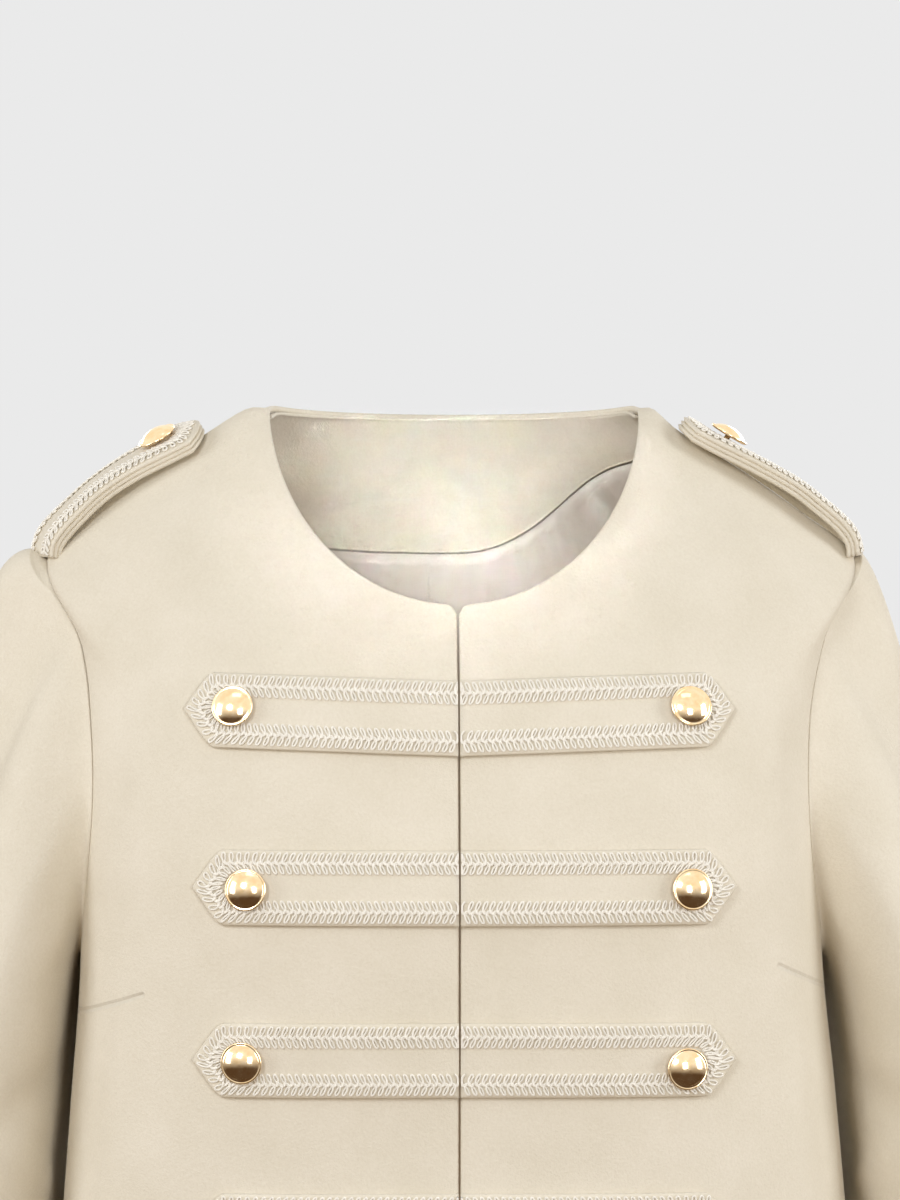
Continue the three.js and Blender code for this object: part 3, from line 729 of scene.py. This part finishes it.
def body_rows():
    """Rows from the neckline to the hem, close together at both edges and round the armhole."""
    shoulder = np.linspace(EDGE_REACH, ARMHOLE_TOP, SHOULDER_ROWS)[:-1]
    arms = armhole_at(np.linspace(0, math.pi, ARMHOLE_ROWS))
    sides = np.linspace(ARMHOLE_BOTTOM, HEM_AT - EDGE_REACH, SIDE_ROWS)[1:]
    return np.concatenate([EDGE_STEPS, shoulder, arms, sides, HEM_AT - EDGE_STEPS[::-1]])


ROWS = body_rows()
ROW_EDGE = np.minimum(ROWS, HEM_AT - ROWS)


def add_panel(node_name, start, end, count, outside):
    """A panel of the body from start to end in each row, with satin inside."""
    turns, distance = spread_turns(start, end, ROWS, count)
    distance = np.minimum(distance, ROW_EDGE[:, None])
    points = lifted_body(turns, ROWS[:, None], -rolled(distance))
    name = f"{node_name}_cloth"
    piece = add_piece(name, make_mesh(name, points), [outside, satin], node_name)
    thicken(piece, CLOTH, 1)


def add_front(side):
    outer = turn_at_depth(-armhole_depth(ROWS, ARMHOLE_FRONT) - SEAM / 2, ROWS)
    inset = CORNER_RADIUS - np.sqrt(CORNER_RADIUS**2 - np.maximum(CORNER_RADIUS - ROWS, 0) ** 2)
    start = turn_at_width(FRONT_OPENING / 2 + inset, ROWS)
    if side == "right":
        start, outer = -math.pi - outer, -math.pi - start
    add_panel(f"front_{side}", start, outer, FRONT_COLUMNS, wool_front)


def back_edge(at, inset):
    return turn_at_depth(armhole_depth(at, ARMHOLE_BACK) + inset, at)


def add_back():
    edge = back_edge(ROWS, SEAM / 2)
    add_panel("back", edge, math.pi - edge, BACK_COLUMNS, wool)


def facing_edge(turn):
    """Where the facing ends at this turn, counted like at, from the neckline down."""
    x = body_point(turn, FACING_EDGE)[..., 0]
    return FACING_EDGE - FACING_RISE * smooth_step(x, FACING_RISE_FROM, FACING_RISE_TO)


def add_facing():
    share = FACING_SHARES[:, None]
    at = FACING_SHARES * FACING_EDGE
    edge = back_edge(at, SEAM)
    turns, distance = spread_turns(edge, math.pi - edge, at, FACING_COLUMNS)
    down = np.minimum(share, 1 - share) * FACING_EDGE
    broad, fine = [rise * np.sin(turns * waves + phase) for rise, waves, phase in FACING_RIPPLES]
    ripple = broad * np.sin(share * math.pi) + fine * share
    sink = rolled(np.minimum(distance, down)) * FACING_BED
    lift = -CLOTH - FACING_GAP - FACING_BED - sink + ripple
    points = lifted_body(turns, share * facing_edge(turns), lift)
    piece = add_piece("back_neck_facing_cloth", make_mesh("facing", points), [wool],
                      "back_neck_facing")
    thicken(piece, FACING_CLOTH)


def arc_turns(at, inset, shares):
    """Turns at these shares of each section's length across the back."""
    edge = back_edge(at, inset)
    turns, lengths = section_lengths(edge, math.pi - edge, at)
    return np.array([
        np.interp(shares * lengths[i, -1], lengths[i], turns[i]) for i in range(len(at))
    ])


def add_lining():
    down = LINING_DOWN[:, None]
    near_at = mix(FACING_EDGE, LINING_END, LINING_DOWN)
    turns = arc_turns(near_at, LINING_INSET, LINING_ACROSS)
    at = mix(facing_edge(turns) + SEAM, LINING_END, down)
    beyond = PLEAT_EDGE - LINING_ACROSS
    lap = np.where(beyond > 0, PLEAT_RISE * np.exp(-((beyond / PLEAT_SPREAD) ** 2)), 0)
    lift = -CLOTH - LINING_EASE - lap * np.minimum(1, down / PLEAT_OPENS_BY)
    for centre, spread, rise in LINING_FOLDS:
        bent = LINING_ACROSS + GATHER_SWAY * np.sin(down * GATHER_SWAYS + centre * GATHER_PHASE)
        wave = rise * np.exp(-(((bent - centre) / spread) ** 2))
        lift = lift - wave * smooth_step(down, GATHERS_FROM, GATHERS_FULL)
    points = lifted_body(turns, at, lift)
    piece = add_piece("lining_back_cloth", make_mesh("lining", points), [satin],
                      "lining_back")
    thicken(piece, LINING_CLOTH)


# Sleeves. Angles run round the armhole from its top, first forwards.
def armhole_place(side, angle):
    at = armhole_at(angle)
    depth = np.where(np.sin(angle) > 0, ARMHOLE_FRONT, ARMHOLE_BACK)
    turn = turn_at_depth(-depth * np.sin(angle), at)
    return (turn if side == "left" else math.pi - turn), at


def armhole_point(side, angle):
    return body_point(*armhole_place(side, angle))


def around(angle, degrees):
    """The angle measured from this many degrees, between half a turn back and half a turn on."""
    return np.mod(angle - math.radians(degrees) + math.pi, 2 * math.pi) - math.pi


def tube_point(side, angle, drop):
    section = read_sleeve(drop)
    forward = section["halfY"] * np.sin(angle)
    x = section["x"] + section["halfX"] * np.cos(angle)
    rise = np.zeros_like(x)
    for turn, fold_drop, width, spread, slant, height in SLEEVE_FOLDS:
        beside = around(angle, turn)
        aside = drop - fold_drop - slant * beside
        reach = beside / math.radians(spread)
        rise = rise + height * np.exp(-((aside / width) ** 2) - reach**2)
    return np.stack([
        SIDES[side] * (x + rise * np.cos(angle)),
        section["y"] - forward - rise * np.sin(angle),
        -drop + section["lean"] * forward,
    ], -1)


def head_lift(side, place):
    """How far the sleeve's edge stands up from the armhole beside the strap's sewn end."""
    near_top = np.exp(-((body_point(*place)[..., 1] / LIFT_REACH) ** 4))
    return np.where(place[1] < (ARMHOLE_TOP + ARMHOLE_BOTTOM) / 2, HEAD_LIFT[side] * near_top, 0)


def sleeve_head(side, angle, along):
    """A curve from the armhole into the straight sleeve, with the head's small folds."""
    normal = body_normal(*armhole_place(side, angle))
    run = armhole_point(side, angle + SMALL_TURN) - armhole_point(side, angle - SMALL_TURN)
    away = unit(np.cross(normal, run)) * SIDES[side]
    top = ((1 + np.cos(angle)) / 2)[..., None]
    seam = armhole_point(side, angle)
    lift = head_lift(side, armhole_place(side, angle))[..., None]
    start = seam + away * SLEEVE_SEAM + normal * lift
    leave = start + away * mix(UNDER_LEAD, TOP_LEAD, top**2) + normal * HEAD_PUFF[side] * top**4
    end = tube_point(side, angle, np.full_like(angle, TUBE_TOP))
    end_run = unit(tube_point(side, angle, np.full_like(angle, TUBE_TOP + SMALL_STEP)) - end)
    arrive = end - end_run * mix(UNDER_DROP, TOP_DROP, top)
    t = along[..., None]
    point = start * (1 - t) ** 3 + leave * 3 * t * (1 - t) ** 2
    point = point + arrive * 3 * t**2 * (1 - t) + end * t**3
    rise = np.zeros_like(angle)
    for turn, place, spread, reach, height in HEAD_FOLDS:
        beside = around(angle, turn) / math.radians(spread)
        rise = rise + height * np.exp(-(beside**2) - ((along - place) / reach) ** 2)
    rise = rise * smooth_step(along, *HEAD_FOLDS_IN) * smooth_step(-along, *HEAD_FOLDS_OUT)
    return point + normal * rise[..., None]


def sleeve_point(side, angle, along):
    angle, along = np.broadcast_arrays(np.asarray(angle, float), np.asarray(along, float))
    head = sleeve_head(side, angle, np.clip(along, 0, 1))
    straight = tube_point(side, angle, TUBE_TOP + (along - 1) * TUBE_LENGTH)
    return np.where((along >= 1)[..., None], straight, head)


def add_sleeve(side):
    head = np.linspace(HEAD_FROM, 1, HEAD_ROWS)
    straight = 1 + np.linspace(0, 1, TUBE_ROWS)[1:-1] * TUBE_PART
    along = np.concatenate([HEAD_STEPS, head, straight, CUFF - CUFF_STEPS])
    distance = np.where(along < 0.5, along * HEAD_LENGTH, (CUFF - along) * TUBE_LENGTH)
    turns = np.linspace(0, 2 * math.pi, SLEEVE_TURNS)

    def surface(turn, run):
        return sleeve_point(side, -SIDES[side] * turn, run)

    turns, along = np.broadcast_arrays(turns[None, :], along[:, None])
    normal = surface_normal(surface, turns, np.maximum(along, HEAD_INNER), SMALL_TURN, SMALL_RUN)
    points = surface(turns, along) - normal * rolled(distance)[:, None, None]
    place = armhole_place(side, turns[0] * -SIDES[side])
    below = points[0] - body_normal(*place) * (head_lift(side, place)[:, None] + SEAM_DEPTH)
    turned_in = [mix(below, points[0], share) for share in TURNED_SHARES]
    points = np.concatenate([turned_in, points])
    points[:, -1] = points[:, 0]
    name = f"sleeve_{side}_cloth"
    piece = add_piece(name, make_mesh(name, points, True), [wool, satin], f"sleeve_{side}")
    thicken(piece, CLOTH, 1)


# Chest tabs and straps. A frame function turns (out, up) into points and normals.
def tab_frame(row, side):
    """Looks up points and normals of the chest at any place on a tab, from a grid."""
    reach = row[side][0]
    outs = np.linspace(-1, reach + 2, TAB_TABLE_ALONG)
    ups = np.linspace(-TAB_HALF - 1, TAB_HALF + 1, TAB_TABLE_ACROSS)
    out, up = np.meshgrid(outs, ups, indexing="ij")
    z = row["z"] + row["lift"] * out / reach + up
    clear = np.maximum(out, FRONT_OPENING / 2)
    place = front_place(SIDES[side] * clear, z)
    table = np.concatenate([body_point(*place), body_normal(*place)], -1)
    table[..., 0] += SIDES[side] * (out - clear)

    def read(out_at, up_at, lift):
        i = np.clip((out_at - outs[0]) / (outs[1] - outs[0]), 0, len(outs) - BELOW_LAST)
        j = np.clip((up_at - ups[0]) / (ups[1] - ups[0]), 0, len(ups) - BELOW_LAST)
        i0, j0 = i.astype(int), j.astype(int)
        s, t = (i - i0)[..., None], (j - j0)[..., None]
        low = table[i0, j0] * (1 - s) + table[i0 + 1, j0] * s
        high = table[i0, j0 + 1] * (1 - s) + table[i0 + 1, j0 + 1] * s
        value = low * (1 - t) + high * t
        normal = unit(value[..., 3:])
        return value[..., :3] + normal * np.asarray(lift)[..., None], normal

    return read


def shoulder_point(side, at):
    """A point of the shoulder line. The right one is mirrored to the left."""
    point = body_point(0.0 if side == "left" else math.pi, at)
    point[..., 0] *= SIDES[side]
    return point


def strap_length(side):
    strap = STRAPS[side]
    ends = shoulder_point(side, np.array([strap["outer"], strap["inner"]], float))
    return float(np.linalg.norm(ends[0] - ends[1]))


def strap_frame(side):
    """Points and normals over the shoulder, where the strap arches up and its end bends down."""
    strap = STRAPS[side]
    length = strap_length(side)
    tilt = math.radians(strap["roll"])

    def read(out_at, up_at, lift):
        along = out_at / length
        across = -up_at / STRAP_HALF
        at = mix(strap["outer"], strap["inner"], along)
        run = unit(shoulder_point(side, at - SMALL_STEP) - shoulder_point(side, at + SMALL_STEP))
        level = np.array([0.0, 1.0, 0.0])
        up = unit(np.cross(level, run))
        cross = level * math.cos(tilt) + up * math.sin(tilt)
        normal = unit(np.cross(cross, run))
        arch = np.sin(math.pi * np.clip(along, 0, 1) ** strap["skew"]) ** 2
        clear = STRAP_SEAT + strap["arch"] * arch * (1 - np.clip(across, 0, 1) ** STRAP_BACK_POWER)
        from_end = np.maximum(out_at + STRAP_TUCK, 0) / STRAP_END_REACH
        height = clear + lift - STRAP_EDGE_DROP * across**2
        height = height - STRAP_END_DROP * np.exp(-(from_end**2))
        point = shoulder_point(side, at) + cross * (across * STRAP_HALF)[..., None]
        point = point + normal * height[..., None]
        mirror = np.array([SIDES[side], 1, 1])
        return point * mirror, normal * mirror

    return read


def pointed_cloth(side, read, start, half, end_of, lift, thickness, count):
    """A tab's or strap's face, with its rolled edge, as rows of points."""
    width = edge_steps(2 * half, STRIP_ROWS)
    up = (half - width)[:, None]
    across = np.abs(up) / half
    end = end_of(across)
    distance_up = np.minimum(width, 2 * half - width)[:, None]
    share = np.concatenate([np.linspace(0, TIP_FROM, count), TIP_SHARES])
    out = np.minimum(start + (end - start) * share, end - EDGE_REACH - TIP_GAP)
    out = np.concatenate([out, end - TIP_STEPS], axis=1)
    distance = np.minimum(distance_up, end - out)
    roll = np.minimum(rolled(distance), thickness * LARGEST_ROLL)
    points, _ = read(out, np.broadcast_to(up, out.shape), lift - roll)
    return points if side == "left" else points[:, ::-1]


def outline_at(strip, inset, share):
    """Place on the braid's path. share runs 0 to 1 out along one leg, to 2 at the point, to 4.

    strip is the cloth's half width, the length of its point, its start and its reach.
    """
    strip_half, strip_point, start, reach = strip
    slope = math.atan2(strip_half, strip_point)
    tip = reach - inset / math.sin(slope)
    half = strip_half - inset
    corner = tip - strip_point * half / strip_half
    middle_tip = reach - BRAID_MIDDLE / math.sin(slope)
    middle_corner = middle_tip - strip_point * (strip_half - BRAID_MIDDLE) / strip_half
    folded = np.where(share > 2, 4 - share, share)
    leg = np.clip(folded, 0, 1)
    turn = np.clip(folded - 1, 0, 1)
    mitre = (corner - middle_corner) * smooth_step(leg, BRAID_MITRE_FROM, 1)
    straight = mix(start, middle_corner, leg) + mitre
    out = np.where(folded <= 1, straight, mix(corner, tip, turn))
    up = np.where(folded <= 1, half, half * (1 - turn))
    return out, up * np.where(share > 2, -1, 1)


def braid_lengths(strip):
    """Lengths of a leg and of half the point, on the braid's middle line."""
    out, up = outline_at(strip, BRAID_MIDDLE, np.array([0.0, 1.0, 2.0]))
    return math.hypot(out[1] - out[0], up[1] - up[0]), math.hypot(out[2] - out[1], up[2] - up[1])


def tube(centre, normal, radius):
    """A cord along points, with its section square to its run, as rows of points round it."""
    run = unit(np.gradient(centre, axis=0))
    side = unit(np.cross(run, normal))
    up = np.cross(side, run)
    angle = -np.linspace(0, 2 * math.pi, CORD_SIDES + 1)[None, :, None]
    ring = centre[:, None] + radius * (side[:, None] * np.cos(angle) + up[:, None] * np.sin(angle))
    ring[:, -1] = ring[:, 0]
    return ring


def join_meshes(name, meshes):
    work = bmesh.new()
    for mesh in meshes:
        work.from_mesh(mesh)
        bpy.data.meshes.remove(mesh)
    mesh = bpy.data.meshes.new(name)
    work.to_mesh(mesh)
    work.free()
    mesh.polygons.foreach_set("use_smooth", [True] * len(mesh.polygons))
    return mesh


def loop_row(read, strip, lift, to_share, total, row, phase):
    """One cord in loops on one side of the braid's middle, row being 1 outside and -1 inside."""
    loops = int(round(total / LOOP_PITCH))
    steps = np.arange(loops * LOOP_POINTS + 1) / LOOP_POINTS
    turn = 2 * math.pi * (steps + phase)
    height = (1 - np.cos(turn)) / 2
    across = mix(LOOP_INNER, LOOP_OUTER, height)
    distance = steps * total / loops + LOOP_SWING * np.sin(turn) - LOOP_SKEW * across
    distance = np.clip(distance, CORD_RADIUS, total - CORD_RADIUS)
    out, up = outline_at(strip, BRAID_MIDDLE - row * across, to_share(distance))
    crossing = (LOOP_CROSSING * np.sin(turn) + LOOP_ROOT_RISE) * (1 - height)
    centre, normal = read(out, up, lift + BRAID_BASE + CORD_RADIUS + crossing)
    return tube(centre, normal, CORD_RADIUS)


def add_braid(node_name, read, strip, lift):
    leg, point = braid_lengths(strip)
    total = 2 * (leg + point)

    def to_share(distance):
        marks = [0, leg, leg + point, leg + 2 * point, total]
        return np.interp(distance, marks, [0, 1, 2, 3, 4])

    rings = [loop_row(read, strip, lift, to_share, total, row, phase) for row, phase in LOOP_ROWS]
    share = to_share(np.linspace(CORE_RADIUS, total - CORE_RADIUS, CORE_POINTS))
    out, up = outline_at(strip, BRAID_MIDDLE, share)
    centre, normal = read(out, up, np.full_like(out, lift + BRAID_BASE + CORE_LIFT))
    rings.append(tube(centre, normal, CORE_RADIUS))
    name = f"{node_name}_cord"
    mesh = join_meshes(name, [make_mesh(name, ring, True) for ring in rings])
    add_piece(name, mesh, [cord], node_name)


def add_button(node_name, point, normal):
    side = unit(np.cross(np.array([0.0, 0.0, 1.0]), normal))
    up = np.cross(normal, side)
    angle = np.linspace(0, 2 * math.pi, BUTTON_TURNS + 1)
    rows = []
    for radius, height in BUTTON_PROFILE[::-1]:
        ring = point + normal * height
        ring = ring + radius * (side * np.cos(angle)[:, None] + up * np.sin(angle)[:, None])
        ring[-1] = ring[0]
        rows.append(ring)
    name = f"{node_name}_metal"
    add_piece(name, make_mesh(name, np.array(rows), True), [gold], node_name)


def add_tab(row, side, number):
    """A chest tab with its braid and its button."""
    reach, button_out, button_up = row[side]
    read = tab_frame(row, side)
    start = FRONT_OPENING / 2

    def end_of(across):
        return reach - TAB_POINT * across - TAB_CORNER * across**TAB_CORNER_POWER

    top = TAB_SEAT + TAB_THICK
    points = pointed_cloth(side, read, start, TAB_HALF, end_of, top, TAB_THICK, TAB_COLUMNS)
    name = f"tab_{side}_{number}"
    tab = add_piece(f"{name}_cloth", make_mesh(name, points), [wool], name)
    thicken(tab, TAB_THICK)
    strip = (TAB_HALF, TAB_POINT, start, reach)
    add_braid(f"braid_{side}_{number}", read, strip, top + TAB_BRAID_LIFT)
    place, normal = read(np.array([float(button_out)]), np.array([float(button_up)]), top + SEAM)
    add_button(f"button_{side}_{number}", place[0], normal[0])


def add_strap(side):
    """A shoulder strap in folded layers, with its braid and its button."""
    read = strap_frame(side)
    length = strap_length(side)
    layer = STRAP_THICK / STRAP_LAYERS

    def end_of(across):
        return length - STRAP_POINT * across**STRAP_POINT_POWER

    name = f"epaulette_{side}"
    meshes = []
    for number in range(1, STRAP_LAYERS + 1):
        points = pointed_cloth(side, read, -STRAP_TUCK, STRAP_HALF, end_of, number * layer, layer,
                               STRAP_COLUMNS)
        meshes.append(make_mesh(name, points))
    strap = add_piece(f"{name}_cloth", join_meshes(name, meshes), [wool], name)
    thicken(strap, layer - STRAP_LAYER_GAP)
    strip = (STRAP_HALF, STRAP_POINT, STRAP_BRAID_START, length)
    add_braid(f"epaulette_braid_{side}", read, strip, STRAP_THICK + STRAP_BRAID_LIFT)
    out = STRAPS[side]["button"] * length
    place, normal = read(np.array([out]), np.array([0.0]), STRAP_THICK + SEAM)
    add_button(f"epaulette_button_{side}", place[0], normal[0])


add_back()
add_facing()
add_lining()
for side in SIDES:
    add_front(side)
    add_sleeve(side)
    add_strap(side)
    for number, row in enumerate(TABS, 1):
        add_tab(row, side, number)


# Camera, light and background, from the photograph. Places are in metres.
YAW = math.radians(1.3)
DISTANCE = 3.0
LENS = 248.96
ASIDE = 0.00193
CAMERA_Z = -0.0964
forward = np.array([math.sin(YAW), math.cos(YAW), 0])
right = np.array([math.cos(YAW), -math.sin(YAW), 0])
camera_data = bpy.data.cameras.new("camera")
camera_data.sensor_fit = "HORIZONTAL"
camera_data.sensor_width = 36
camera_data.lens = LENS
camera = bpy.data.objects.new("camera", camera_data)
camera.location = tuple(-forward * DISTANCE - right * ASIDE + np.array([0, 0, CAMERA_Z]))
camera.rotation_euler = (math.pi / 2, 0, -YAW)
bpy.context.scene.collection.objects.link(camera)
bpy.context.scene.camera = camera

# Lamps: name, place, target, size, power in watts, and the angle that the light spreads over
CENTRE = (0, 0, -0.2)
LAMP_COLOUR = (0.94, 0.99, 1.065)
LAMPS = [
    ("key", (-1.5, -2.9, 1.1), CENTRE, (0.9, 0.9), 36, 180),
    ("fill", (0.8, -3.1, 0.1), CENTRE, (0.9, 1.2), 27, 180),
    ("top", (0.0, -0.7, 2.5), CENTRE, (1.4, 1.0), 5, 180),
    ("neck", (-0.1, -3.0, 0.3), (0.0, 0.05, -0.055), (0.06, 0.03), 0.038, 4),
    ("side_right", (-2.8, -0.8, 0.3), CENTRE, (1.2, 1.8), 28, 180),
    ("side_left", (2.8, -0.8, 0.3), CENTRE, (1.2, 1.8), 38, 180),
    ("rear_left", (1.6, 2.8, 0.7), CENTRE, (1.6, 1.6), 42, 180),
    ("rear_right", (-1.6, 2.8, 0.2), CENTRE, (1.6, 1.6), 36, 180),
]


def add_lamp(name, place, target, size, power, spread):
    data = bpy.data.lights.new(name, "AREA")
    data.shape = "RECTANGLE"
    data.size, data.size_y = size
    data.energy = power
    data.spread = math.radians(spread)
    data.color = LAMP_COLOUR
    lamp = bpy.data.objects.new(name, data)
    lamp.location = place
    toward = np.array(target, float) - np.array(place, float)
    tilt = math.atan2(math.hypot(toward[0], toward[1]), -toward[2])
    lamp.rotation_euler = (tilt, 0, math.atan2(toward[1], toward[0]) - math.pi / 2)
    lamp.visible_camera = False
    bpy.context.scene.collection.objects.link(lamp)


for lamp_values in LAMPS:
    add_lamp(*lamp_values)


# World: flat grey to the camera. The other light has one colour below and another above.
BACKGROUND = (0.823, 0.823, 0.823)
AMBIENT = ((0.36, 0.26, 0.165), (0.34, 0.315, 0.28))
MIRRORED = ((0.10, 0.065, 0.04), (1.15, 1.1, 1.02))


def background(tree, colour):
    made = node(tree, "ShaderNodeBackground")
    if isinstance(colour, tuple):
        made.inputs["Color"].default_value = (*colour, 1)
    else:
        link(tree, colour, made.inputs["Color"])
    return made.outputs[0]


def choose(tree, test, no, yes):
    made = node(tree, "ShaderNodeMixShader")
    for source, target in zip((test, no, yes), made.inputs):
        link(tree, source, target)
    return made.outputs[0]


def add_world():
    world = bpy.data.worlds.new("studio")
    bpy.context.scene.world = world
    world.use_nodes = True
    tree = world.node_tree
    tree.nodes.clear()
    direction = node(tree, "ShaderNodeSeparateXYZ")
    link(tree, node(tree, "ShaderNodeTexCoord").outputs["Generated"], direction.inputs[0])
    height = maths(tree, "MULTIPLY_ADD", direction.outputs["Z"], 0.5)
    height.node.inputs[2].default_value = 0.5
    ambient = background(tree, colour_between(tree, height, 0.1, 0.9, *AMBIENT))
    mirrored = background(tree, colour_between(tree, height, 0.3, 0.62, *MIRRORED))
    path = node(tree, "ShaderNodeLightPath")
    light = choose(tree, path.outputs["Is Glossy Ray"], ambient, mirrored)
    shown = choose(tree, path.outputs["Is Camera Ray"], light, background(tree, BACKGROUND))
    link(tree, shown, node(tree, "ShaderNodeOutputWorld").inputs["Surface"])


add_world()

bpy.context.scene.view_settings.view_transform = "Standard"
